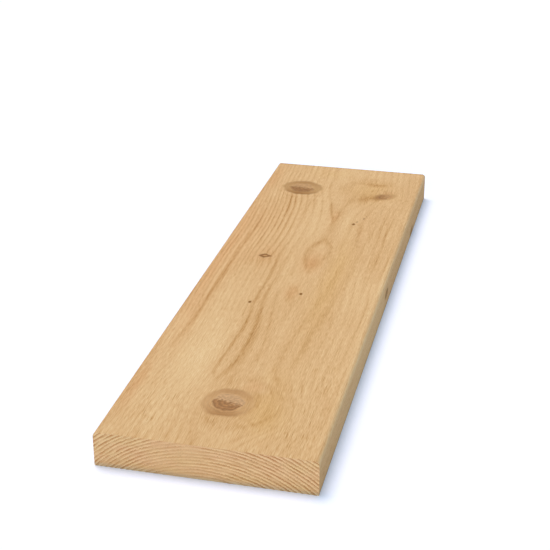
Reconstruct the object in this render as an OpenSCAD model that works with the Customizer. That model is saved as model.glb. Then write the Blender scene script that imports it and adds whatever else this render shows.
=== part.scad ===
// Softwood lumber plank: one length of plain-sawn board, planed on its four long sides.
// The two long arrises of the face are eased to a radius, the two of the underside only
// have their sharpness taken off, and both ends are cross-cut square.
// Millimetres. The plank lies flat, with X across its width, Y along its length and
// Z up through its thickness. The origin is the centre of the underside.

/* [Section] */
// Width across the face
plank_width = 195; // [60:1:300]
// Thickness from the underside to the face
plank_thickness = 33; // [16:1:75]
// Radius of the two long arrises of the face
face_arris_radius = 4; // [0.5:0.5:6]
// Radius of the two long arrises of the underside
underside_arris_radius = 0.5; // [0.5:0.5:6]

/* [Length] */
// Length between the two cross-cut ends
plank_length = 685; // [150:5:6000]

/* [Hidden] */

// How far each cutting shape runs past the wood that it takes away
cut_overrun = 1;
// Segments in the full circle that an arris is a quarter of
arris_segments = 64;

// The wood planed off one arris, for a corner at the origin whose wood lies towards +X and +Y
module arris_waste(radius) {
    difference() {
        translate([-cut_overrun, -cut_overrun])
            square(radius + cut_overrun);
        translate([radius, radius])
            circle(r = radius, $fn = arris_segments);
    }
}

// Cross-section of the plank, centred on X and standing on the X axis
module plank_section() {
    difference() {
        translate([-plank_width / 2, 0])
            square([plank_width, plank_thickness]);
        for (edge = [0, 1])
            translate([(edge - 1 / 2) * plank_width, 0])
                mirror([edge, 0]) {
                    arris_waste(underside_arris_radius);
                    translate([0, plank_thickness])
                        mirror([0, 1])
                            arris_waste(face_arris_radius);
                }
    }
}

// The whole board: its section carried from one cross-cut end to the other
module plank() {
    color("burlywood")
        rotate([90, 0, 0])
            linear_extrude(height = plank_length, center = true)
                plank_section();
}

plank();
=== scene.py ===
import math
from functools import partial

import bpy
import numpy as np
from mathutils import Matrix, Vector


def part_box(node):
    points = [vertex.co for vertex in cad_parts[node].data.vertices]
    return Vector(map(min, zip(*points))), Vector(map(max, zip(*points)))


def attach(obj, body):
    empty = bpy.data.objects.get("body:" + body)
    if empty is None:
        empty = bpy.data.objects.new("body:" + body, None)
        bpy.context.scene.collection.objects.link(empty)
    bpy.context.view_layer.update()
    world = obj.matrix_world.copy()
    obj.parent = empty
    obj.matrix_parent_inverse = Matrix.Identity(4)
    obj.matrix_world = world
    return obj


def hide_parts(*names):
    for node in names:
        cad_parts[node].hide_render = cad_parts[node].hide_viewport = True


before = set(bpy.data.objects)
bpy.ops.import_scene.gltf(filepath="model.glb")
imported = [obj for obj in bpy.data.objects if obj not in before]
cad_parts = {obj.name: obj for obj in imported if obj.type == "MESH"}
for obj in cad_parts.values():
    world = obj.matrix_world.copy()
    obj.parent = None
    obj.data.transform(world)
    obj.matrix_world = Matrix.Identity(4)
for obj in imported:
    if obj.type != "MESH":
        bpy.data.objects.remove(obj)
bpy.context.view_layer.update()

# Board coordinates are millimetres: x from the left edge, y from the near end, z up from the underside.
metre = 1000.0  # millimetres
plankLow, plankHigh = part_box("plank")
boardWidth, boardLength, boardThick = ((plankHigh - plankLow) * metre)[:]
originX, originY, originZ = (plankLow * metre)[:]

scene = bpy.context.scene
scene.view_settings.view_transform = "Standard"


def linearColour(hexCode):
    # sRGB hex to linear: c/12.92 below the toe, ((c + 0.055) / 1.055) ** 2.4 above it
    parts = [int(hexCode[i:i + 2], 16) / 255 for i in (1, 3, 5)]
    return tuple(c / 12.92 if c <= 0.04045 else ((c + 0.055) / 1.055) ** 2.4 for c in parts) + (1.0,)


def emptyTree(owner):
    # the node tree of a material or world, with nothing in it
    owner.use_nodes = True
    owner.node_tree.nodes.clear()
    return owner.node_tree


def addNode(tree, kind, links=(), out=0, stops=None, **settings):
    # one node: settings are its properties, links its inputs (sockets or values) by name or in a row,
    # stops a ramp's colours; each maker below binds it to its own tree as add
    node = tree.nodes.new("ShaderNode" + kind)
    for name, value in settings.items():
        setattr(node, name, value)
    for key, value in links.items() if isinstance(links, dict) else enumerate(links):
        if isinstance(value, bpy.types.NodeSocket):
            tree.links.new(value, node.inputs[key])
        else:
            node.inputs[key].default_value = value
    if stops:
        ramp = node.color_ramp.elements
        while len(ramp) < len(stops):
            ramp.new(1.0)
        for element, (position, tone) in zip(ramp, stops):
            element.position = position
            element.color = linearColour(tone) if isinstance(tone, str) else (tone, tone, tone, 1.0)
    return node.outputs[out] if node.outputs else node


# settings that many nodes share: a product, a product plus a third input, a mix of two colours,
# their product, and a range with soft ends
times = {"operation": "MULTIPLY"}
timesPlus = {"operation": "MULTIPLY_ADD"}
blend = {"data_type": "RGBA", "out": 2}
tint = {"data_type": "RGBA", "blend_type": "MULTIPLY", "out": 2}
softly = {"interpolation_type": "SMOOTHSTEP"}


def perMetre(*sizes):
    # texture scale that makes one noise cell the given size in millimetres on each axis
    return tuple(metre / size for size in sizes)


def toMetres(x, y, z):
    # board millimetres to the object's own metres
    return (x + originX) / metre, (y + originY) / metre, (z + originZ) / metre


# The tree that the board was sawn from
growth = {
    "pithDepth": 101.0,  # mm from the underside down to the heart of the log
    "firstRing": 100.0,  # mm from the heart to the first ring line that the board holds
    # each year's growth in mm, from the underside's middle outwards
    "ringWidths": [2.9, 3.1, 2.6, 3.2, 2.8, 3.0, 2.7, 3.1, 2.9, 2.5, 3.0, 2.4, 1.4, 2.5, 2.8, 2.7, 2.9,
                   3.0, 3.0, 2.8, 2.4, 2.7, 3.0, 3.1, 3.2, 3.0, 2.9, 3.0],
    "boldRing": 3.1,  # mm between the rings that a saw cut shows, as its tears run narrow ones together
    "flatness": (0.98, 0.17, 40.0),  # rings flatten towards the right: mean, swing, mm over which
    "sideBlend": 25.0,  # mm over which the left swell passes into the right one
    # the heart wanders sideways along the log: (y, x)
    "heartLine": [(0, 92), (70, 103), (140, 112), (230, 114), (345, 110), (450, 111), (580, 106),
                  (685, 98)],
    # the log swells and narrows, which draws the loops and arches of the face: (y, extra ring radius)
    "swellLeft": [(0, 0.0), (70, -1.2), (105, -0.4), (140, 0.4), (185, 0.4), (230, 0.2), (285, -0.5),
                  (345, 0.3), (405, -0.4), (460, 0.2), (520, 0.0), (600, -1.2), (685, -1.6)],
    "swellRight": [(0, -1.5), (70, -1.5), (105, -0.4), (140, 1.0), (185, 1.0), (240, 0.4), (290, -0.5),
                   (345, 0.1), (405, -0.2), (460, -0.5), (520, -0.6), (600, -2.2), (685, -2.8)],
    # rings bulge outwards where a branch leaves: x, y, bulge, reach across, reach along
    "branchBulges": [(100, 70, 3.0, 50, 36), (145, 55, 4.0, 42, 36), (50, 602, 1.5, 30, 36),
                     (150, 592, 2.6, 34, 40), (54, 387, 0.8, 12, 16), (111, 402, 0.7, 24, 38)],
}


def smoothThrough(points, t):
    # cubic curve through listed points, its slope at each point taken from the two neighbours
    at, value = np.array(points, float).T
    slope = np.gradient(value, at)
    i = np.clip(np.searchsorted(at, t, side="right") - 1, 0, len(at) - 2)
    span = at[i + 1] - at[i]
    u = np.clip((t - at[i]) / span, 0.0, 1.0)
    start = value[i] * (1 + 2 * u) * (1 - u) ** 2 + span * slope[i] * u * (1 - u) ** 2
    return start + value[i + 1] * u * u * (3 - 2 * u) + span * slope[i + 1] * u * u * (u - 1)


def softPatches(patches, x, y):
    # sum of soft ellipses, each its strength times exp(-(u^2 + v^2)), with u and v turned
    # to the patch's own axes
    total = np.zeros_like(x)
    for px, py, halfAcross, halfAlong, turn, strength in patches:
        c, s = math.cos(math.radians(turn)), math.sin(math.radians(turn))
        u = ((x - px) * c + (y - py) * s) / halfAcross
        v = ((y - py) * c - (x - px) * s) / halfAlong
        total += strength * np.exp(-u * u - v * v)
    return total


def streakTone(streaks, x, y):
    # each streak follows a curve x(y) and fades across it as
    # strength(y) * exp(-((x - curve) / half width)^2)
    total = np.zeros_like(x)
    for halfWidth, points in streaks:
        alongY = [p[0] for p in points]
        centre = smoothThrough([p[:2] for p in points], y)
        strength = np.interp(y, alongY, [p[2] for p in points], left=0.0, right=0.0)
        total += strength * np.exp(-((x - centre) / halfWidth) ** 2)
    return total


def loopTone(loops, x, y):
    # each loop is an ellipse drawn as strength * exp(-(distance from it / half width)^2),
    # strongest towards one side
    total = np.zeros_like(x)
    for cx, cy, halfAcross, halfAlong, halfWidth, strength, facing in loops:
        u, v = (x - cx) / halfAcross, (y - cy) / halfAlong
        away = (np.hypot(u, v) - 1) * halfAcross
        side = 1.0 if facing is None else 0.5 + 0.5 * np.cos(np.arctan2(v, u) - math.radians(facing))
        total += strength * side * np.exp(-(away / halfWidth) ** 2)
    return total


def ringField(x, y, z):
    # distance from the heart line, flatter to the right than to the left, plus the swell, less the
    # branch bulges; gives the year count (whole numbers are ring lines), the bold ring count and the
    # way round the ring in mm
    across = x - smoothThrough(growth["heartLine"], y)
    flatMean, flatSwing, flatReach = growth["flatness"]
    flat = flatMean - flatSwing * np.tanh(across / flatReach)
    toRight = 0.5 + 0.5 * np.tanh(across / growth["sideBlend"])
    depth = z + growth["pithDepth"]
    radius = np.sqrt(flat * across ** 2 + depth ** 2)
    radius += (1 - toRight) * smoothThrough(growth["swellLeft"], y)
    radius += toRight * smoothThrough(growth["swellRight"], y)
    for bx, by, bulge, reachAcross, reachAlong in growth["branchBulges"]:
        radius -= bulge * np.exp(-((x - bx) / reachAcross) ** 2 - ((y - by) / reachAlong) ** 2)
    edges = growth["firstRing"] + np.concatenate([[0.0], np.cumsum(growth["ringWidths"])])
    year = np.interp(radius, edges, np.arange(len(edges)))
    bold = (radius - growth["firstRing"]) / growth["boldRing"]
    return year, bold, radius * np.arctan2(across, depth)


def valueNoise(u, v, seed):
    # random heights on a whole-number lattice, blended between the four neighbours with 3t^2 - 2t^3
    cells = 64  # the lattice repeats after these
    heights = np.random.default_rng(seed).random((cells, cells))
    iu, iv = np.floor(u).astype(int), np.floor(v).astype(int)
    fu, fv = u - iu, v - iv
    fu, fv = fu * fu * (3 - 2 * fu), fv * fv * (3 - 2 * fv)
    iu, iv, nextU, nextV = iu % cells, iv % cells, (iu + 1) % cells, (iv + 1) % cells
    near = heights[iu, iv] * (1 - fu) + heights[nextU, iv] * fu
    far = heights[iu, nextV] * (1 - fu) + heights[nextU, nextV] * fu
    return near * (1 - fv) + far * fv


# The board; tone is 0 for its usual straw colour, +1 for the palest wood and -1 for a brown streak
board = {
    "faceArris": 4.0,        # mm, radius of the upper long edges
    "underArris": 0.5,       # mm, radius of the lower long edges
    "arrisSteps": 6,         # facets in each upper edge
    "columnSpacing": 0.9,    # mm across the width
    "rowSpacing": 1.0,       # mm up the thickness
    "stationSpacing": 4.8,   # mm along the length
    "fibreRelief": 0.05,     # mm that the planed fibres lie below the face at most
    # those fibres: mm across, mm along, share, seed
    "fibreCells": [(2.6, 34.0, 1.0, 11), (1.3, 17.0, 0.5, 12)],
    "endRelief": 0.30,       # mm that the saw tears out between the hard rings of an end at most
    "ringTear": 0.65,        # share of that which follows the rings, the rest being single tears
    "tearLength": 2.2,       # mm of ring that a single tear takes
    "tearsAcross": 1.5,      # single tears across one ring
    "streakDepth": 14.0,     # mm below the upper face where its streaks have died away
    "lineWeight": 0.40,      # how strongly ring lines show, and the least that patches leave of it
    "lineLeast": 0.05,
    # where they show more or less: x, y, half across, half along, turn, strength
    "linePatches": [(48, 485, 28, 80, 0, 0.90), (14, 420, 14, 120, 0, 0.35), (40, 30, 30, 45, 0, 0.05),
                    (48, 562, 24, 26, 0, 0.70), (140, 240, 18, 110, 0, -0.15),
                    (166, 460, 24, 90, 0, -0.16), (172, 60, 22, 70, 0, -0.10), (52, 165, 26, 70, 0, -0.22),
                    (95, 230, 30, 90, 0, -0.26), (110, 320, 24, 50, 0, -0.20), (115, 70, 42, 45, 0, -0.30),
                    (58, 95, 24, 45, 0, -0.15), (60, 655, 30, 25, 0, 0.20), (134, 605, 38, 40, 0, -0.30)],
    # where the wood is more orange, or yellower below 0: x, y, half across, half along, turn, strength
    "warmPatches": [(18, 400, 14, 150, 0, 0.38), (8, 380, 5, 190, 0, 0.65), (38, 480, 24, 70, 0, 0.25),
                    (54, 386, 20, 26, 0, 0.30), (109, 376, 10, 22, 0, 0.45), (104, 302, 6, 14, 0, 0.50),
                    (109, 385, 12, 24, 0, 0.25), (146, 480, 8, 60, 0, 0.20), (18, 230, 8, 60, 0, 0.30),
                    (139, 340, 12, 120, 0, -0.55), (130, 90, 16, 40, 0, -0.45), (138, 610, 24, 30, 0, -0.55),
                    (138, 52, 18, 26, 0, -0.45), (9, 85, 6, 40, 0, 0.55), (9, 630, 6, 40, 0, 0.50),
                    (108, 514, 5, 16, 0, 0.40), (76, 660, 30, 20, 0, -0.25), (158, 606, 9, 9, 0, 0.55),
                    (118, 104, 12, 10, 0, 0.60)],
    # broad changes of tone: x, y, half across, half along, turn, strength; the last two are a painted
    # highlight along the face's right edge and painted shade on the curve of that edge
    "tonePatches": [(48, 150, 24, 72, 0, 0.75), (46, 20, 26, 60, 0, 0.40), (46, 270, 18, 80, 0, 0.38),
                    (92, 335, 14, 40, 0, 0.25), (172, 325, 20, 45, 0, 0.32), (84, 460, 12, 70, 0, 0.28),
                    (125, 80, 18, 32, 0, -0.30), (100, 45, 26, 12, 0, -0.25), (88, 110, 12, 16, 0, -0.20),
                    (142, 240, 12, 95, 0, -0.20), (9, 205, 8, 45, 0, 0.40), (40, 510, 22, 55, 0, -0.20),
                    (18, 330, 5, 90, 0, 0.25), (27, 405, 5, 50, 0, 0.35), (182, 505, 4, 45, 0, 0.35),
                    (170, 450, 5, 90, 0, -0.10), (9, 85, 5, 40, 0, -0.15), (10, 630, 7, 40, 0, -0.20),
                    (54, 386, 20, 20, 0, -0.30), (48, 560, 18, 20, 0, -0.30), (110, 376, 9, 18, 0, -0.38),
                    (113, 416, 8, 16, 0, 0.20), (104, 302, 5, 12, 0, -0.30), (138, 600, 36, 36, 0, -0.20),
                    (129, 578, 19, 9, 36, -0.75), (130, 592, 16, 14, 0, -0.30), (145, 586, 9, 7, 45, -0.45),
                    (143, 631, 10, 5, 0, -1.35), (124, 634, 16, 5, 0, -0.60), (120, 650, 18, 5, 0, -0.35),
                    (158, 607, 10, 9, 0, -0.25), (165, 572, 10, 10, 0, 0.25),
                    (197, 200, 6, 110, 0, 0.35), (197, 385, 6, 50, 0, -0.25), (197, 655, 6, 45, 0, -0.30),
                    (1.5, 345, 2.6, 500, 0, -0.60), (146, 480, 8, 60, 0, -0.15), (108, 514, 5, 13, 0, -0.05),
                    (115, 84, 4, 5, 0, -0.90), (103, 612, 10, 14, 0, -0.30), (140, 430, 8, 40, 0, 0.20),
                    # the last two entries: a painted highlight along the face's right edge, then painted
                    # shade on the curve of that edge
                    (120, 660, 80, 24, 0, 0.18), (190.6, 345, 1.8, 260, 0, 0.45),
                    (193.6, 345, 0.9, 600, 0, -0.15)],
    # brown summer-wood streaks: half width, then (y, x, strength) along each
    "streaks": [
        (1.8, [(108, 79, 0), (122, 71, 0.5), (142, 71.5, 1.1), (170, 73, 1.2), (205, 74, 1.1), (240, 74, 0.9),
               (265, 71.5, 0.75), (300, 71, 0.65), (345, 72, 0.6), (370, 71, 0.5), (395, 70, 0)]),
        (3.4, [(106, 75, 0), (124, 81, 0.5), (142, 85, 0.85), (170, 87, 1.0), (205, 86.5, 1.1),
               (240, 84, 0.95), (262, 81.5, 0.25), (280, 79.5, 0)]),
        (1.5, [(235, 84.5, 0), (262, 81, 0.4), (290, 78.5, 0.65), (330, 79.5, 0.65), (365, 78, 0.5),
               (395, 75, 0)]),
        (1.2, [(118, 85, 0), (140, 90.5, 0.45), (180, 92, 0.5), (215, 90.5, 0.45), (250, 86.5, 0)]),
        (1.5, [(112, 102, 0), (140, 105, 0.5), (168, 104, 0.5), (215, 100, 0.45), (265, 93, 0.4),
               (300, 89.5, 0.4), (345, 89, 0.45), (385, 86, 0)]),
        (1.9, [(135, 13, 0), (165, 17, 0.45), (192, 20, 0.55), (216, 22, 0.75), (245, 22, 1.1),
               (300, 22, 1.3), (340, 22, 1.5), (370, 22, 1.3), (395, 22, 1.0), (440, 23.5, 0.9),
               (490, 24, 0.5), (530, 23, 0)]),
        (1.5, [(380, 10.5, 0), (400, 11.5, 0.4), (440, 13.5, 0.35), (490, 14, 0.4), (520, 12, 0.4),
               (540, 11, 0)]),
        (2.6, [(350, 110, 0), (360, 108, 0.4), (372, 104, 0.45), (388, 99.5, 0.48), (408, 96.5, 0.5),
               (424, 99.5, 0.5), (438, 105.5, 0.7), (446, 109, 0.5), (456, 110, 0)]),
        (1.9, [(354, 110, 0), (368, 113, 0.2), (384, 117, 0.22), (400, 121, 0.25), (415, 123.5, 0.28),
               (428, 121.5, 0.32), (438, 115.5, 0.55), (446, 111, 0.4), (456, 110, 0)]),
        (3.6, [(4, 115, 0), (20, 122, 0.25), (40, 132, 0.32), (58, 142, 0.38), (76, 150, 0.34),
               (98, 146, 0.28), (115, 135, 0.26), (132, 127, 0.26), (150, 125.5, 0.26), (175, 127, 0)]),
        (3.0, [(446, 111, 0), (470, 110, 0.25), (492, 109.5, 0.42), (508, 109, 0.3), (520, 109, 0)]),
        (1.5, [(496, 109.5, 0), (512, 106, 0.85), (528, 102, 1.0), (545, 98.5, 1.1), (556, 96.5, 0.75),
               (566, 95, 0)]),
        (1.5, [(496, 110, 0), (512, 111.5, 0.6), (530, 112, 0.65), (545, 113, 0.7), (560, 115.5, 0.6),
               (574, 119, 0)]),
        (4.4, [(130, 142, 0), (190, 142, 0.34), (240, 146, 0.44), (290, 150, 0.36), (345, 152, 0.25),
               (415, 150, 0.2), (440, 148, 0.25), (466, 145, 0.3), (490, 142.5, 0.25), (515, 141, 0)]),
        (1.1, [(300, 175, 0), (345, 176, 0.6), (395, 177, 0.85), (440, 177, 0.8), (480, 176, 0.9),
               (505, 177, 0.9), (530, 178.5, 0.6), (565, 182, 0)]),
        (1.1, [(335, 169, 0), (370, 170, 0.5), (420, 169.5, 0.45), (460, 169, 0.5), (500, 168.5, 0.7),
               (530, 169, 0.5), (560, 172, 0)]),
        (1.0, [(415, 161, 0), (450, 159.5, 0.5), (480, 160, 0.6), (510, 160.5, 0.5), (540, 161.5, 0)]),
        (1.2, [(340, 187, 0), (375, 188, 0.7), (410, 188.5, 0.9), (440, 189, 0.6), (470, 189, 0.5),
               (520, 190, 0)]),
        (2.8, [(120, 126, 0), (165, 126, 0.3), (215, 129, 0.32), (265, 134, 0.32), (310, 139, 0.3),
               (370, 140, 0.22), (420, 139, 0)]),
        (1.8, [(0, 37, 0.35), (30, 34, 0.4), (62, 30, 0.3), (85, 30, 0)]),
        (1.5, [(0, 64, 0.25), (25, 61, 0.25), (50, 59, 0.15), (70, 60, 0)]),
        (1.5, [(0, 87, 0.3), (20, 86, 0.25), (42, 87, 0)]),
        (3.0, [(500, 52, 0), (520, 50, 0.4), (545, 47, 0.6), (565, 45, 0.65), (577, 44, 0.4), (585, 44, 0)]),
        (1.6, [(505, 71, 0), (530, 71, 0.4), (560, 70, 0.4), (580, 66, 0)]),
        (1.7, [(624, 57, 0), (645, 61, 0.4), (665, 69, 0.5), (685, 77, 0.35)]),
        (1.5, [(628, 65, 0), (648, 71, 0.35), (668, 80, 0.45), (685, 87, 0.3)]),
    ],
    # ring lines that close on themselves: x, y, half across, half along, half width, strength, and the
    # side where they are strongest in degrees from +x, or None
    "loops": [(105, 301, 5, 14, 1.6, 0.25, None), (102, 76, 22, 26, 2.0, 0.40, 0),
              (104, 78, 33, 36, 1.6, 0.32, 5), (105, 76, 40, 40, 1.6, 0.55, -20),
              (137, 606, 36, 40, 6.0, 0.28, 120), (150, 594, 21, 20, 3.5, 0.22, 100),
              (51, 602, 30, 31, 1.8, 0.25, -90)],
    # a painted highlight on the side just under the upper right edge: tone, mm in from the side, mm down from
    # the face, mm of fade
    "edgeHighlight": (1.0, 2.0, 8.0, 6.0),
    # the middle of a saw cut is calmer: x, half across, how much of the ring contrast goes
    "endCalm": (76.0, 36.0, 0.62),
    # fibres part round each knot: x, y, reach across, reach along, how far they part
    "partings": [(97, 73, 36, 32, 0.25), (50, 602, 34, 32, 0.28), (152, 592, 26, 28, 0.30),
                 (54, 387, 12, 14, 0.35)],
    "dashWeight": 0.10,      # how often the plane tore a fibre and left a short dark dash
    # where it did so more: x, y, half across, half along, turn, strength
    "dashPatches": [(38, 40, 20, 40, 0, 0.80), (50, 80, 12, 20, 0, 0.40), (168, 30, 20, 40, 0, 0.70),
                    (48, 170, 22, 60, 0, 0.22), (176, 130, 14, 50, 0, 0.55), (110, 35, 14, 18, 0, 0.20),
                    (176, 440, 16, 110, 0, 0.05), (75, 300, 20, 120, 0, 0.15)],
}


def latewoodHeight(year):
    # 0 in the soft spring wood, rising as a square to 1 at the hard summer wood, then falling straight
    # to the next year's line; all three are shares of the year
    springEnd, rise, fall = 0.35, 0.5, 0.12
    t = year - np.floor(year)
    return np.clip((t - springEnd) / rise, 0, 1) ** 2 * np.clip((1 - t) / fall, 0, 1)


def fibreAcross(x, y):
    # x drawn towards each knot's middle by 1 - part * exp(-(u^2 + v^2)), so that lines of equal value
    # bow round it
    across = x.copy()
    for kx, ky, reachAcross, reachAlong, part in board["partings"]:
        near = np.exp(-((x - kx) / reachAcross) ** 2 - ((y - ky) / reachAlong) ** 2)
        across -= (x - kx) * part * near
    return across


def makePlankMesh():
    # the section is a grid: columns across, rows up, each column running from the lower to the upper
    # outline, where an eased edge of radius r stands r - sqrt(r^2 - (r - x)^2) in; its boundary is
    # carried along the length
    upper, lower = board["faceArris"], board["underArris"]
    turn = np.linspace(math.pi / 2, 0, board["arrisSteps"] + 1)
    edgeX = np.concatenate([upper - upper * np.sin(turn), lower - lower * np.sin(turn[::2])])
    edgeX = np.unique(np.round(edgeX, 6))
    flatCount = int(round((boardWidth - 2 * upper) / board["columnSpacing"]))
    flatX = np.linspace(upper, boardWidth - upper, flatCount + 1)[1:-1]
    columnX = np.concatenate([edgeX, flatX, (boardWidth - edgeX)[::-1]])
    inset = np.minimum(columnX, boardWidth - columnX)
    lowIn, highIn = np.maximum(lower - inset, 0), np.maximum(upper - inset, 0)
    lowZ = lower - np.sqrt(lower ** 2 - lowIn ** 2)
    highZ = boardThick - upper + np.sqrt(upper ** 2 - highIn ** 2)
    rowCount = int(round(boardThick / board["rowSpacing"])) + 1
    share = np.linspace(0, 1, rowCount)
    columnCount = len(columnX)
    gridX = np.repeat(columnX[:, None], rowCount, 1).ravel()
    gridZ = (lowZ[:, None] + (highZ - lowZ)[:, None] * share).ravel()

    # outline of the section, and the way out of the wood at each of its points
    index = np.arange(columnCount * rowCount).reshape(columnCount, rowCount)
    outline = np.concatenate([index[:, 0], index[-1, 1:], index[-2::-1, -1], index[0, -2:0:-1]])
    side = np.sign(columnX - boardWidth / 2)
    lowOut = np.stack([side * lowIn / lower, -np.sqrt(1 - (lowIn / lower) ** 2)], 1)
    highOut = np.stack([side * highIn / upper, np.sqrt(1 - (highIn / upper) ** 2)], 1)
    rightOut = np.tile([1.0, 0.0], (rowCount - 1, 1))
    leftOut = np.tile([-1.0, 0.0], (rowCount - 2, 1))
    outward = np.concatenate([lowOut, rightOut, highOut[-2::-1], leftOut])
    outX, outZ = gridX[outline], gridZ[outline]
    girth = np.cumsum(np.hypot(np.diff(outX, prepend=outX[-1]), np.diff(outZ, prepend=outZ[-1])))

    stationCount = int(round(boardLength / board["stationSpacing"])) + 1
    stationY = np.linspace(0, boardLength, stationCount)

    # long faces, all stations between the two ends, lowered by streaks of fibre
    midY = np.repeat(stationY[1:-1, None], len(outline), 1)
    midGirth = girth + 0 * midY
    streaks = sum(part * valueNoise(midGirth / wide, midY / long, seed)
                  for wide, long, part, seed in board["fibreCells"])
    sunk = board["fibreRelief"] * streaks / sum(cell[2] for cell in board["fibreCells"])
    midX = outX - outward[:, 0] * sunk
    midZ = outZ - outward[:, 1] * sunk

    # ends: the soft wood between the rings is torn lower by the saw
    ends = []
    ringTear = board["ringTear"]
    latticeStart = 200  # where the tears begin in their random lattice
    for atY, inward, seed in ((0.0, 1.0, 21), (boardLength, -1.0, 22)):
        bold, roundRing = ringField(gridX, np.full_like(gridX, atY), gridZ)[1:]
        torn = 1 - latewoodHeight(bold)
        rough = valueNoise(roundRing / board["tearLength"] + latticeStart, bold * board["tearsAcross"], seed)
        deep = board["endRelief"] * (ringTear * torn + (1 - ringTear) * rough)
        ends.append(np.stack([gridX, atY + inward * deep, gridZ], -1))

    points = np.concatenate(ends + [np.stack([midX, midY, midZ], -1).reshape(-1, 3)])
    gridSize, loopSize = len(gridX), len(outline)
    middle = 2 * gridSize + np.arange((stationCount - 2) * loopSize).reshape(-1, loopSize)
    rings = np.concatenate([[outline], middle, [gridSize + outline]])
    ahead = np.roll(rings, -1, 1)
    sides = np.stack([rings[:-1], rings[1:], ahead[1:], ahead[:-1]], -1).reshape(-1, 4)
    nearEnd = np.stack([index[:-1, :-1], index[1:, :-1], index[1:, 1:], index[:-1, 1:]], -1).reshape(-1, 4)
    farEnd = gridSize + nearEnd[:, ::-1]
    faces = np.concatenate([sides, nearEnd, farEnd])
    onEnd = np.arange(len(faces)) >= len(sides)

    mesh = bpy.data.meshes.new("planed_plank")
    placed = (points + np.array([originX, originY, originZ])) / metre
    mesh.from_pydata(placed.tolist(), [], faces.tolist())
    mesh.polygons.foreach_set("use_smooth", np.ones(len(faces), bool))
    mesh.polygons.foreach_set("material_index", onEnd.astype(np.int32))

    # the cross-cut ends meet the long faces at crisp edges
    endLoop = np.zeros(len(points), np.int8)
    endLoop[outline], endLoop[gridSize + outline] = 1, 2
    edgeEnds = np.empty(2 * len(mesh.edges), np.int32)
    mesh.edges.foreach_get("vertices", edgeEnds)
    first, second = endLoop[edgeEnds[0::2]], endLoop[edgeEnds[1::2]]
    crisp = mesh.attributes.new("sharp_edge", "BOOLEAN", "EDGE")
    crisp.data.foreach_set("value", (first > 0) & (first == second))

    # what the wood is like at each point, for the materials to draw from
    x, y, z = points.T
    year, bold, roundRing = ringField(x, y, z)
    nearFace = np.clip(1 - (boardThick - z) / board["streakDepth"], 0, 1)
    weight = np.maximum(board["lineWeight"] + softPatches(board["linePatches"], x, y), board["lineLeast"])
    marks = streakTone(board["streaks"], x, y) + loopTone(board["loops"], x, y)
    # painted highlight: the side paler just under the upper right edge
    highlightTone, highlightIn, highlightDown, highlightFade = board["edgeHighlight"]
    paintedHighlight = np.clip((x - boardWidth + highlightIn) / highlightIn, 0, 1)
    paintedHighlight *= np.clip((z - boardThick + highlightDown) / highlightFade, 0, 1)
    calmX, calmHalf, calmShare = board["endCalm"]
    looks = {
        "ringYear": year,
        "boldRing": bold,
        "roundRing": roundRing,
        "lineWeight": weight,
        "tone": softPatches(board["tonePatches"], x, y) - nearFace * marks + highlightTone * paintedHighlight,
        "warmth": softPatches(board["warmPatches"], x, y),
        "fibreAcross": (fibreAcross(x, y) + originX) / metre,
        "endContrast": 1 - calmShare * np.exp(-((x - calmX) / calmHalf) ** 2),
        "dashWeight": board["dashWeight"] + softPatches(board["dashPatches"], x, y),
    }
    for name, values in looks.items():
        mesh.attributes.new(name, "FLOAT", "POINT").data.foreach_set("value", values.astype(np.float32))
    mesh.update()
    return mesh


# Knots go right through the board: centre on the upper face, radius in mm, length over width, turn in
# degrees, lean of the branch in mm per mm of depth; colours; how fully it covers the wood, and the share
# of the radius over which it fades out; the core's share, and how its pale half is tilted and set off;
# strength of the rim on three sides, the near side having 1; mm between branch rings and how much they
# darken; how much of the wood is covered where there is no rim
knots = [
    {"x": 98.2, "y": 73.5, "radius": 25.5, "stretch": 1.0, "turn": 0, "leanAcross": 0.0, "leanAlong": 0.15,
     "core": "#9e7248", "corePale": "#c6a077", "disc": "#cca272", "rim": "#ab7f50",
     "strength": 0.94, "edge": 0.20, "coreShare": 0.55, "coreTilt": 0.30, "coreSplit": 0.05,
     "rimFar": 0.80, "rimLeft": 0.48, "rimRight": 0.26, "ringGap": 4.6, "ringDepth": 0.36, "cover": 0.25},
    {"x": 50.5, "y": 602.0, "radius": 24.6, "stretch": 1.0, "turn": 0, "leanAcross": -0.41,
     "leanAlong": 0.15, "core": "#956b40", "corePale": "#be9669", "disc": "#bd9663", "rim": "#986c3a",
     "strength": 0.95, "edge": 0.18, "coreShare": 0.56, "coreTilt": 0.05, "coreSplit": 0.04,
     "rimFar": 0.58, "rimLeft": 0.20, "rimRight": 0.15, "ringGap": 3.0, "ringDepth": 0.22, "cover": 0.85},
    {"x": 155.5, "y": 593.5, "radius": 12.0, "stretch": 1.55, "turn": -52, "leanAcross": 0.36,
     "leanAlong": 0.15, "core": "#9c7144", "corePale": "#b58b5c", "disc": "#c09660", "rim": "#b0854f",
     "strength": 0.85, "edge": 0.40, "coreShare": 0.62, "coreTilt": 0.20, "coreSplit": 0.10,
     "rimFar": 0.60, "rimLeft": 0.50, "rimRight": 0.50, "ringGap": 5.0, "ringDepth": 0.40, "cover": 0.40},
]
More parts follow.
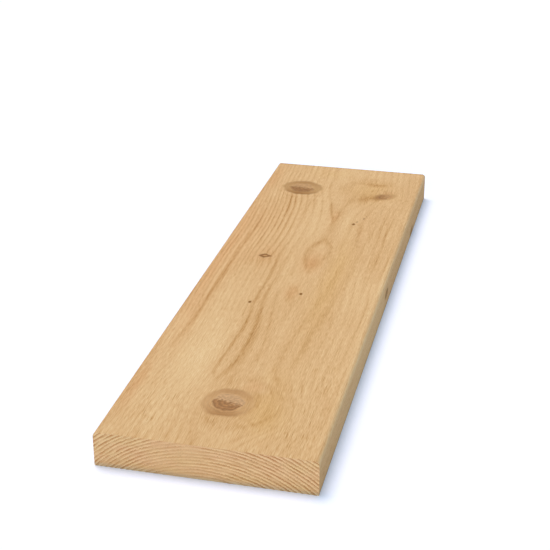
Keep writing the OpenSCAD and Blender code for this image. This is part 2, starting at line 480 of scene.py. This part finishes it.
# what the large knots share; all but the two cell sizes are shares of a knot's radius or of its tone
knotLook = {
    "warpCell": (9, 9, 9),          # mm, waves that bend the outline
    "warp": 0.30,                   # how far they bend it
    "crumbCell": (2.6, 1.8, 2.6),   # mm, chips of the hard core
    "crumbTone": (0.80, 1.20),      # darkest and palest chip
    "crumbReach": 0.6,              # how far the chips fray the line between dark and pale half
    "paleHalf": (0.18, 0.40),       # the pale half begins and is full
    "coreEdge": (0.08, -0.06),      # the core begins and is full, from its nominal edge
    "rimInside": [(-0.06, 0.15), (0.10, 0.85)],  # the rim's strength, from the core's nominal edge
    "rimOutside": [(0.82, 1.0), (0.96, 0.7)],    # and from the middle
    "ringFade": (0.45, 0.85),       # where branch rings begin and cease to fade
    "ringsLeft": 0.06,              # what is left of them there
    "paleRings": 0.15,              # and what the pale half leaves of them
    "outerEdge": 1.03,              # where the knot begins
}
# ends of needle twigs, nearly black in the middle: x, y, z, half across, half along, half up, darkness
pinKnots = [(67, 271, 33, 1.7, 3.0, 4, 0.95), (114, 301, 33, 1.8, 2.8, 4, 0.95),
            (134, 498, 33, 2.0, 3.5, 4, 0.9), (137, 506, 33, 1.4, 3.0, 4, 0.35),
            (143, 518, 33, 1.3, 3.4, 4, 0.45), (145, 525, 33, 1.0, 2.0, 4, 0.3),
            (195, 359, 15, 4, 12, 5.5, 0.65), (195, 562, 5, 4, 14, 5.5, 0.58)]
pinLook = {"colour": "#7c4e00", "warp": 0.8, "edge": (1.25, 0.5)}  # edge: where it begins and is full
# a dark diamond round a paler eye: place and half sizes in mm, then darkness from its middle outwards
twigKnot = {
    "place": (54.5, 387, boardThick), "half": (9.2, 6.6, 20), "colour": "#875c2f", "warp": 0.7,
    "outline": [(0.0, 0.10), (0.2, 0.2), (0.45, 0.95), (0.75, 0.90), (1.0, 0.0)],
}

# The planed faces; tone runs from the brown of a streak to the palest wood
planed = {
    # noises: mm across, mm along, detail; real fibres are 0.04 mm wide, so they are drawn coarser to show
    "cells": {"fibre": (1.1, 60, 1.0), "short": (0.5, 36, 1.0), "tick": (0.5, 8, 1.0),
              "dash": (0.8, 20, 1.0), "band": (8, 150, 2.0), "drift": (60, 190, 2.0)},
    "toneRange": (-2.0, 1.5),
    "tones": [(0.0, "#a5783f"), (0.286, "#c59a64"), (0.571, "#d9b383"), (0.857, "#e5c696"),
              (1.0, "#ebd0a4")],
    "warmTints": [(0.0, "#fffdea"), (0.5, "#ffffff"), (1.0, "#fff2ec")],  # yellower, plain, more orange
    "lineWander": [("fibre", 0.12), ("band", 0.20)],  # how far noises bend a ring line, in years
    # a ring line over its year: it darkens slowly and stops sharply
    "ringLine": [(0.0, 0.55), (0.12, 0.08), (0.40, 0.0), (0.70, 0.38), (0.88, 1.0), (1.0, 0.55)],
    "lineMean": 0.38,             # how much of it leaves the tone as it is
    "lineTone": 1.7,              # and how far the whole of it darkens
    "lineStretch": 110,           # mm along which a line is weaker or stronger
    "lineShare": (0.35, 1.0),     # weakest and strongest stretch
    "fray": (1.2, 0.8),           # how far the fibres raise and lower the tone of streaks and patches
    "slowTones": [("band", 0.35), ("drift", 0.35)],
    "fuzz": [("fibre", 0.20), ("short", 0.52), ("tick", 0.66)],  # what cut fibres are made of
    "fuzzTone": (4.2, 5.2),       # how strong they are on clean wood and on torn wood
    "tornWeight": 0.6,            # dash weight of torn wood
    "dashRange": (0.57, 0.72),    # noise levels where a dash begins and is full
    "dashTone": 1.8,
    "bruise": (5.0, 1.5),         # the saw bruised the far edge: mm, how dark
    "lineHeight": 0.3,            # ring lines stand a little proud of the cut fibres
    "roughness": (0.55, 0.75),
    "gloss": 0.12,
}
ringApart = 3.7  # noise cells from one ring to the next, so that their stretches differ
relief = {"Strength": 0.6, "Distance": 0.0005}  # of all the wood's bumps, the distance in m


def makePlanedSpruce():
    # Spruce planed along the grain: pale straw spring wood, thin tan summer-wood lines, and a silky fuzz
    # of cut fibres that breaks up the light but gives no gloss.
    material = bpy.data.materials.new("sprucePlaned")
    add = partial(addNode, emptyTree(material))
    place = add("TexCoord", out="Object")
    year, lineWeight, broadTone, warmth, across, dashWeight = [
        add("Attribute", attribute_name=name, out="Fac")
        for name in ("ringYear", "lineWeight", "tone", "warmth", "fibreAcross", "dashWeight")]
    along = add("SeparateXYZ", {"Vector": place}, out="Y")
    upward = add("SeparateXYZ", {"Vector": place}, out="Z")
    grain = add("CombineXYZ", {"X": across, "Y": along, "Z": upward})
    noise = {}
    for name, (wide, long, detail) in planed["cells"].items():
        at = add("Mapping", {"Vector": grain, "Scale": perMetre(wide, long, wide)})
        noise[name] = add("TexNoise", {"Vector": at, "Scale": 1.0, "Detail": detail})
    fibre = noise["fibre"]

    # ring lines: the fraction of the year, made ragged by the noises
    ragged = year
    for name, wander in planed["lineWander"]:
        ragged = add("Math", (noise[name], wander, ragged), **timesPlus)
    phase = add("Math", (ragged,), operation="FRACT")
    line = add("ValToRGB", {"Fac": phase}, stops=planed["ringLine"])
    count = add("Math", (ragged,), operation="FLOOR")
    countApart = add("Math", (count, ringApart), **times)
    alongStep = add("Math", (along, metre / planed["lineStretch"]), **times)
    yearPlace = add("CombineXYZ", {"X": countApart, "Y": alongStep})
    yearTone = add("TexNoise", {"Vector": yearPlace, "Scale": 1.0, "Detail": 1.0})
    yearShare = add("MapRange", (yearTone, 0.32, 0.68, *planed["lineShare"]))
    lineShare = add("Math", (yearShare, lineWeight), **times)
    lineShown = add("Math", (line, lineShare), **times)
    lineSwing = add("Math", (line, planed["lineMean"]), operation="SUBTRACT")
    lineTone = add("Math", (lineSwing, lineShare), **times)

    # tone: streaks frayed by the fibres, less the ring lines, plus band and drift, fuzz and torn dashes
    fray = add("MapRange", (fibre, 0.3, 0.7, *planed["fray"]))
    tone = add("Math", (broadTone, fray), **times)
    tone = add("Math", (lineTone, -planed["lineTone"], tone), **timesPlus)
    for name, share in planed["slowTones"]:
        swing = add("MapRange", (noise[name], 0, 1, -share, share))
        tone = add("Math", (tone, swing), operation="ADD")
    fuzz = -sum(share for name, share in planed["fuzz"]) / 2
    for name, share in planed["fuzz"]:
        fuzz = add("Math", (noise[name], share, fuzz), **timesPlus)
    fuzzShare = add("MapRange", (dashWeight, 0, planed["tornWeight"], *planed["fuzzTone"]))
    tone = add("Math", (fuzz, fuzzShare, tone), **timesPlus)
    dash = add("MapRange", (noise["dash"], *planed["dashRange"]))
    dash = add("Math", (dash, dashWeight), **times)
    tone = add("Math", (dash, -planed["dashTone"], tone), **timesPlus)
    farEdge = toMetres(0, boardLength, 0)[1]
    bruiseLength, bruiseTone = planed["bruise"]
    bruise = add("MapRange", (along, farEdge - bruiseLength / metre, farEdge, 0, -bruiseTone))
    tone = add("Math", (bruise, fibre, tone), **timesPlus)
    toneShare = add("MapRange", (tone, *planed["toneRange"]))
    wood = add("ValToRGB", {"Fac": toneShare}, stops=planed["tones"])
    warmShare = add("MapRange", (warmth, -1.0))
    warmTint = add("ValToRGB", {"Fac": warmShare}, stops=planed["warmTints"])
    wood = add("Mix", {"Factor": 1.0, "A": wood, "B": warmTint}, **tint)

    # knots: concentric branch rings, dark on the near half of the core, in a tan disc with a darker rim
    warpAt = add("Mapping", {"Vector": place, "Scale": perMetre(*knotLook["warpCell"])})
    warp = add("TexNoise", {"Vector": warpAt, "Scale": 1.0, "Detail": 3.0}, out="Color")
    warp = add("VectorMath", (warp, (0.5, 0.5, 0.5)), operation="SUBTRACT")
    crumbAt = add("Mapping", {"Vector": place, "Scale": perMetre(*knotLook["crumbCell"])})
    crumb = add("TexNoise", {"Vector": crumbAt, "Scale": 1.0, "Detail": 2.0})
    crumbTone = add("MapRange", (crumb, 0.3, 0.7, *knotLook["crumbTone"]))
    for knot in knots:
        disc, rim, dark, pale = [linearColour(knot[part]) for part in ("disc", "rim", "core", "corePale")]
        coreEdge = [knot["coreShare"] + step for step in knotLook["coreEdge"]]
        paleEdge = [knot["coreSplit"] + step for step in knotLook["paleHalf"]]
        rimStops = [(knot["coreShare"] + step, level) for step, level in knotLook["rimInside"]]
        outerEdge = (knotLook["outerEdge"], knotLook["outerEdge"] - knot["edge"])
        tilt = (-math.atan(knot["leanAlong"]), math.atan(knot["leanAcross"]), math.radians(knot["turn"]))
        radius = knot["radius"] / metre
        centre = toMetres(knot["x"], knot["y"], boardThick)
        size = (radius, radius * knot["stretch"], radius)
        local = add("Mapping", (place, centre, tilt, size), vector_type="TEXTURE")
        bend = (knotLook["warp"], knotLook["warp"], 0.0)
        local = add("VectorMath", (warp, bend, local), **timesPlus)
        flat = add("VectorMath", (local, (1, 1, 0)), **times)
        reach = add("VectorMath", (flat,), operation="LENGTH", out="Value")
        heading = add("VectorMath", (flat,), operation="NORMALIZE")
        headingX = add("SeparateXYZ", {"Vector": heading}, out="X")
        headingY = add("SeparateXYZ", {"Vector": heading}, out="Y")
        # the rim is strongest on the near side, weaker on the far side and weakest left and right
        rimSides = add("MapRange", (headingX, -1.0, 1, knot["rimLeft"], knot["rimRight"]))
        rimEnds = add("MapRange", (headingY, -1.0, 1, 1.0, knot["rimFar"]))
        endwise = add("Math", (headingY, headingY), **times)
        rimShare = add("Mix", {"Factor": endwise, "A": rimSides, "B": rimEnds}, data_type="FLOAT")
        rimAt = add("ValToRGB", {"Fac": reach}, stops=rimStops + knotLook["rimOutside"])
        rimShown = add("Math", (rimAt, rimShare), **times)
        tone = add("Mix", {"Factor": rimShown, "A": disc, "B": rim}, **blend)
        # the core: its near half dark, its far half pale, parted by a ragged line
        farWay = (knot["coreTilt"], 1.0, 0.0)
        farSide = add("VectorMath", (local, farWay), operation="DOT_PRODUCT", out="Value")
        farSide = add("Math", (crumb, knotLook["crumbReach"], farSide), **timesPlus)
        paleHalf = add("MapRange", (farSide, *paleEdge))
        core = add("Mix", {"Factor": paleHalf, "A": dark, "B": pale}, **blend)
        coreAt = add("MapRange", (reach, *coreEdge), **softly)
        tone = add("Mix", {"Factor": coreAt, "A": tone, "B": core}, **blend)
        # branch rings, broken up, fading out past the core
        ringTurns = knot["radius"] / knot["ringGap"] * 2 * math.pi
        turns = add("Math", (reach, ringTurns), **times)
        wave = add("Math", (turns,), operation="SINE")
        ringLeft = (knot["ringDepth"], knotLook["ringsLeft"])
        fade = add("MapRange", (reach, *knotLook["ringFade"], *ringLeft))
        paleFade = add("MapRange", (paleHalf, 0, 1, crumb, knotLook["paleRings"]))
        broken = add("Math", (fade, paleFade), **times)
        crumbled = add("Mix", {"Factor": coreAt, "A": 1.0, "B": crumbTone}, data_type="FLOAT")
        shade = add("Math", (wave, broken, crumbled), **timesPlus)
        tone = add("Mix", {"Factor": 1.0, "A": tone, "B": shade}, **tint)
        # it covers the wood most where it is core or rim
        cover = add("MapRange", (rimShare, 0, 1, knot["cover"]))
        cover = add("Math", (cover, coreAt), operation="MAXIMUM")
        inside = add("MapRange", (reach, *outerEdge, 0, knot["strength"]), **softly)
        covered = add("Math", (cover, inside), **times)
        wood = add("Mix", {"Factor": covered, "A": wood, "B": tone}, **blend)

    pinColour = linearColour(pinLook["colour"])
    bend = (pinLook["warp"], pinLook["warp"], 0.0)
    for x, y, z, halfAcross, halfAlong, halfUp, dark in pinKnots:
        half = (halfAcross / metre, halfAlong / metre, halfUp / metre)
        local = add("Mapping", (place, toMetres(x, y, z), (0, 0, 0), half), vector_type="TEXTURE")
        local = add("VectorMath", (warp, bend, local), **timesPlus)
        reach = add("VectorMath", (local,), operation="LENGTH", out="Value")
        inside = add("MapRange", (reach, *pinLook["edge"], 0, dark), **softly)
        wood = add("Mix", {"Factor": inside, "A": wood, "B": pinColour}, **blend)

    # twig knot: its diamond is the sum of the ways across and along
    half = tuple(size / metre for size in twigKnot["half"])
    centre = toMetres(*twigKnot["place"])
    local = add("Mapping", (place, centre, (0, 0, 0), half), vector_type="TEXTURE")
    bend = (twigKnot["warp"], twigKnot["warp"], 0.0)
    local = add("VectorMath", (warp, bend, local), **timesPlus)
    sides = add("VectorMath", (local,), operation="ABSOLUTE")
    diamond = add("VectorMath", (sides, (1, 1, 1)), operation="DOT_PRODUCT", out="Value")
    outline = add("ValToRGB", {"Fac": diamond}, stops=twigKnot["outline"])
    twigColour = linearColour(twigKnot["colour"])
    wood = add("Mix", {"Factor": outline, "A": wood, "B": twigColour}, **blend)

    # cut fibres catch the light
    height = add("Math", (lineShown, planed["lineHeight"], noise["short"]), **timesPlus)
    bump = add("Bump", {**relief, "Height": height})
    sheen = add("MapRange", (fibre, 0, 1, *planed["roughness"]))
    surface = add("BsdfPrincipled", {"Base Color": wood, "Roughness": sheen, "Normal": bump,
                                     "IOR": 1.5, "Specular IOR Level": planed["gloss"]})
    add("OutputMaterial", {"Surface": surface})
    return material


# The cross-cut ends
crossCut = {
    "pale": "#ffdfb2",
    "dark": "#cd9665",
    # noises that follow the rings: mm round the ring, rings across, detail, roughness; the saw's tears
    # break each ring into steps, and splinters run along it
    "ringCells": {"tear": (1.6, 2.0, 3.0, 0.65), "splinter": (14, 0.5, 2.0, 0.6)},
    # noises that don't: mm on each axis; real pores are 0.03 mm wide, so they are drawn coarser to show
    "cells": {"pore": (0.8, 0.8, 0.8), "patch": (34, 34, 12)},
    "ringWander": [("tear", 0.7), ("pore", 0.5), ("patch", 0.5)],  # how far noises bend a ring, in rings
    # one ring: after its dark line comes a pale ridge
    "ring": [(0.0, 0.75), (0.08, 0.2), (0.22, 0.0), (0.36, 0.25), (0.62, 0.55), (0.84, 1.0)],
    "ringMean": 0.48,           # how much of it leaves the tone as it is
    "ringStretch": 16,          # mm round which a ring is weaker or stronger
    "ringShare": (0.35, 1.5),   # weakest and strongest stretch
    "splinterTone": (-0.4, 0.4),
    "tone": 0.36,               # share of the dark colour where nothing shows
    "poreTones": [(0.3, 0.80), (0.5, 0.98), (0.7, 1.0)],
    "patchTints": [(0.35, "#fffaf8"), (0.65, "#fefef6")],  # pinker and yellower
    "lowShade": 12,              # mm from the underside over which painted shade greys and blues the ends
    "lowShadeTints": [(0.0, "#e2eefa"), (0.17, "#e9f1fa"), (0.25, "#f0f3f8"), (0.42, "#f7f6f1"),
                     (0.67, "#fcfcfb"), (1.0, "#ffffff")],
    "ringHeight": 0.6,          # rings stand a little proud of the pores
    "roughness": 0.85,
    "gloss": 0.15,
}


def makeCrossCutSpruce():
    # Spruce sawn across the grain: open fibre ends drink the light, so it is matt, with pale spring bands
    # between broken tan rings and the torn texture of the saw.
    material = bpy.data.materials.new("spruceCrossCut")
    add = partial(addNode, emptyTree(material))
    place = add("TexCoord", out="Object")
    bold, roundRing, contrast = [add("Attribute", attribute_name=name, out="Fac")
                                 for name in ("boldRing", "roundRing", "endContrast")]
    upward = add("SeparateXYZ", {"Vector": place}, out="Z")
    noise = {}
    for name, (long, thick, detail, roughness) in crossCut["ringCells"].items():
        around = add("Math", (roundRing, 1 / long), **times)
        outward = add("Math", (bold, 1 / thick), **times)
        at = add("CombineXYZ", {"X": around, "Y": outward})
        noise[name] = add("TexNoise", {"Vector": at, "Scale": 1.0, "Detail": detail, "Roughness": roughness})
    for name, cell in crossCut["cells"].items():
        at = add("Mapping", {"Vector": place, "Scale": perMetre(*cell)})
        noise[name] = add("TexNoise", {"Vector": at, "Scale": 1.0, "Detail": 2.0})

    # rings wander with the noises, so that some crowd and some spread
    ragged = bold
    for name, wander in crossCut["ringWander"]:
        ragged = add("Math", (noise[name], wander, ragged), **timesPlus)
    phase = add("Math", (ragged,), operation="FRACT")
    ring = add("ValToRGB", {"Fac": phase}, stops=crossCut["ring"])
    count = add("Math", (ragged,), operation="FLOOR")
    countApart = add("Math", (count, ringApart), **times)
    stretch = add("Math", (roundRing, 1 / crossCut["ringStretch"]), **times)
    stretchAt = add("CombineXYZ", {"X": countApart, "Y": stretch})
    stretchTone = add("TexNoise", {"Vector": stretchAt, "Scale": 1.0, "Detail": 1.0})
    ringShare = add("MapRange", (stretchTone, 0.32, 0.68, *crossCut["ringShare"]))
    swing = add("Math", (ring, crossCut["ringMean"]), operation="SUBTRACT")
    swing = add("Math", (swing, ringShare), **times)
    splinter = add("MapRange", (noise["splinter"], 0.25, 0.75, *crossCut["splinterTone"]))
    swing = add("Math", (swing, splinter), operation="ADD")
    ringShown = add("Math", (swing, contrast, crossCut["tone"]), **timesPlus)
    pale, dark = linearColour(crossCut["pale"]), linearColour(crossCut["dark"])
    wood = add("Mix", {"Factor": ringShown, "A": pale, "B": dark}, clamp_factor=True, **blend)
    # painted shade: the ends greyer and bluer towards the underside
    lowShade = add("MapRange", (upward, 0, crossCut["lowShade"] / metre))
    for level, tints in ((noise["pore"], "poreTones"), (noise["patch"], "patchTints"),
                         (lowShade, "lowShadeTints")):
        layer = add("ValToRGB", {"Fac": level}, stops=crossCut[tints])
        wood = add("Mix", {"Factor": 1.0, "A": wood, "B": layer}, **tint)

    height = add("Math", (ringShown, crossCut["ringHeight"], noise["pore"]), **timesPlus)
    bump = add("Bump", {**relief, "Height": height})
    surface = add("BsdfPrincipled", {"Base Color": wood, "Roughness": crossCut["roughness"], "Normal": bump,
                                     "IOR": 1.5, "Specular IOR Level": crossCut["gloss"]})
    add("OutputMaterial", {"Surface": surface})
    return material


plankMesh = makePlankMesh()
plankMesh.materials.append(makePlanedSpruce())
plankMesh.materials.append(makeCrossCutSpruce())
plank = bpy.data.objects.new("planed_plank", plankMesh)
scene.collection.objects.link(plank)
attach(plank, "root")
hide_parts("plank")
print("plank:", len(plankMesh.vertices), "vertices,", len(plankMesh.polygons), "faces")


# Floor and light; levels are the linear light on a level face, which add up to a little over 1
studio = {
    "floorHalf": 4.0,           # m from the middle to an edge of the floor
    "floorBounce": "#dedfe2",   # what the floor sends back to the plank
    "floorGlow": "#47a6ff",     # cool light added to the floor for the eye alone
    "floorLift": 0.27,          # and its strength
    "floorCrowd": 0.008,        # m over which the plank crowds that light out
    "dome": ("#e0f2fd", 0.55),  # a cool soft dome all round: colour, strength
    # lamps: name, colour, light on a level face, direction from the plank to the lamp, degrees across
    "lamps": [("keySoftbox", "#ffede1", 0.52, (-0.25, 0.19, 0.96), 28.0),
              ("frontFill", "#ffe9d0", 0.07, (0.0, -0.96, 0.28), 35.0)],
}


def makeFloor():
    # a square of paper; the eye also gets a glow of the lift times how open the floor is there
    half = studio["floorHalf"]
    mesh = bpy.data.meshes.new("floor")
    corners = [(-half, -half, 0), (half, -half, 0), (half, half, 0), (-half, half, 0)]
    mesh.from_pydata(corners, [], [(0, 1, 2, 3)])
    floor = bpy.data.objects.new("floor", mesh)
    scene.collection.objects.link(floor)
    # Matt white paper: white to the eye, a little greyer in the light that it throws back.
    material = bpy.data.materials.new("mattWhitePaper")
    add = partial(addNode, emptyTree(material))
    seen = add("LightPath", out="Is Camera Ray")
    bounced, white = linearColour(studio["floorBounce"]), linearColour("#ffffff")
    tone = add("Mix", {"Factor": seen, "A": bounced, "B": white}, **blend)
    paper = add("BsdfDiffuse", {"Color": tone})
    openness = add("AmbientOcclusion", {"Distance": studio["floorCrowd"]}, out="AO", samples=8)
    seenOpen = add("Math", (seen, openness), **times)
    lift = add("Math", (seenOpen, studio["floorLift"]), **times)
    glow = add("Emission", {"Color": linearColour(studio["floorGlow"]), "Strength": lift})
    surface = add("AddShader", (paper, glow))
    add("OutputMaterial", {"Surface": surface})
    mesh.materials.append(material)


def makeLights():
    # white to the eye and in reflections, the dome's colour for all other light; a lamp's energy is its
    # level times pi over the height of its direction, so that a level face gets the level
    world = bpy.data.worlds.new("studio")
    add = partial(addNode, emptyTree(world))
    cameraRay = add("LightPath", out="Is Camera Ray")
    glossyRay = add("LightPath", out="Is Glossy Ray")
    clearRay = add("LightPath", out="Is Transmission Ray")
    mirrored = add("Math", (glossyRay, clearRay), operation="MAXIMUM")
    shown = add("Math", (cameraRay, mirrored), operation="MAXIMUM")
    domeColour, domeStrength = studio["dome"]
    dome = add("Background", {"Color": linearColour(domeColour), "Strength": domeStrength})
    white = add("Background", {"Color": linearColour("#ffffff"), "Strength": 1.0})
    either = add("MixShader", (shown, dome, white))
    add("OutputWorld", {"Surface": either})
    scene.world = world

    for name, colour, level, towards, spread in studio["lamps"]:
        towards = np.array(towards) / np.linalg.norm(towards)
        lamp = bpy.data.lights.new(name, "SUN")
        lamp.energy = level * math.pi / towards[2]
        lamp.color = linearColour(colour)[:3]
        lamp.angle = math.radians(spread)
        holder = bpy.data.objects.new(name, lamp)
        holder.rotation_euler = (math.acos(towards[2]), 0, math.atan2(towards[0], -towards[1]))
        scene.collection.objects.link(holder)


view = {
    "lens": 81.0,                               # mm
    "sensor": 36.0,                             # mm across
    "location": (0.25745, -1.16993, 0.59176),   # m, in the plank's frame
    "lookDown": 24.966,                         # degrees below level
    "turnLeft": 13.391,                         # degrees from the plank's length towards its left edge
}


def makeCamera():
    # stands to the right of the near end; it is tipped up from straight down by 90 degrees less lookDown
    lens = bpy.data.cameras.new("camera")
    lens.lens = view["lens"]
    lens.sensor_width = view["sensor"]
    camera = bpy.data.objects.new("camera", lens)
    camera.location = view["location"]
    camera.rotation_euler = (math.radians(90 - view["lookDown"]), 0, math.radians(view["turnLeft"]))
    scene.collection.objects.link(camera)
    scene.camera = camera


makeFloor()
makeLights()
makeCamera()
print("studio: floor, dome, lamps and camera")
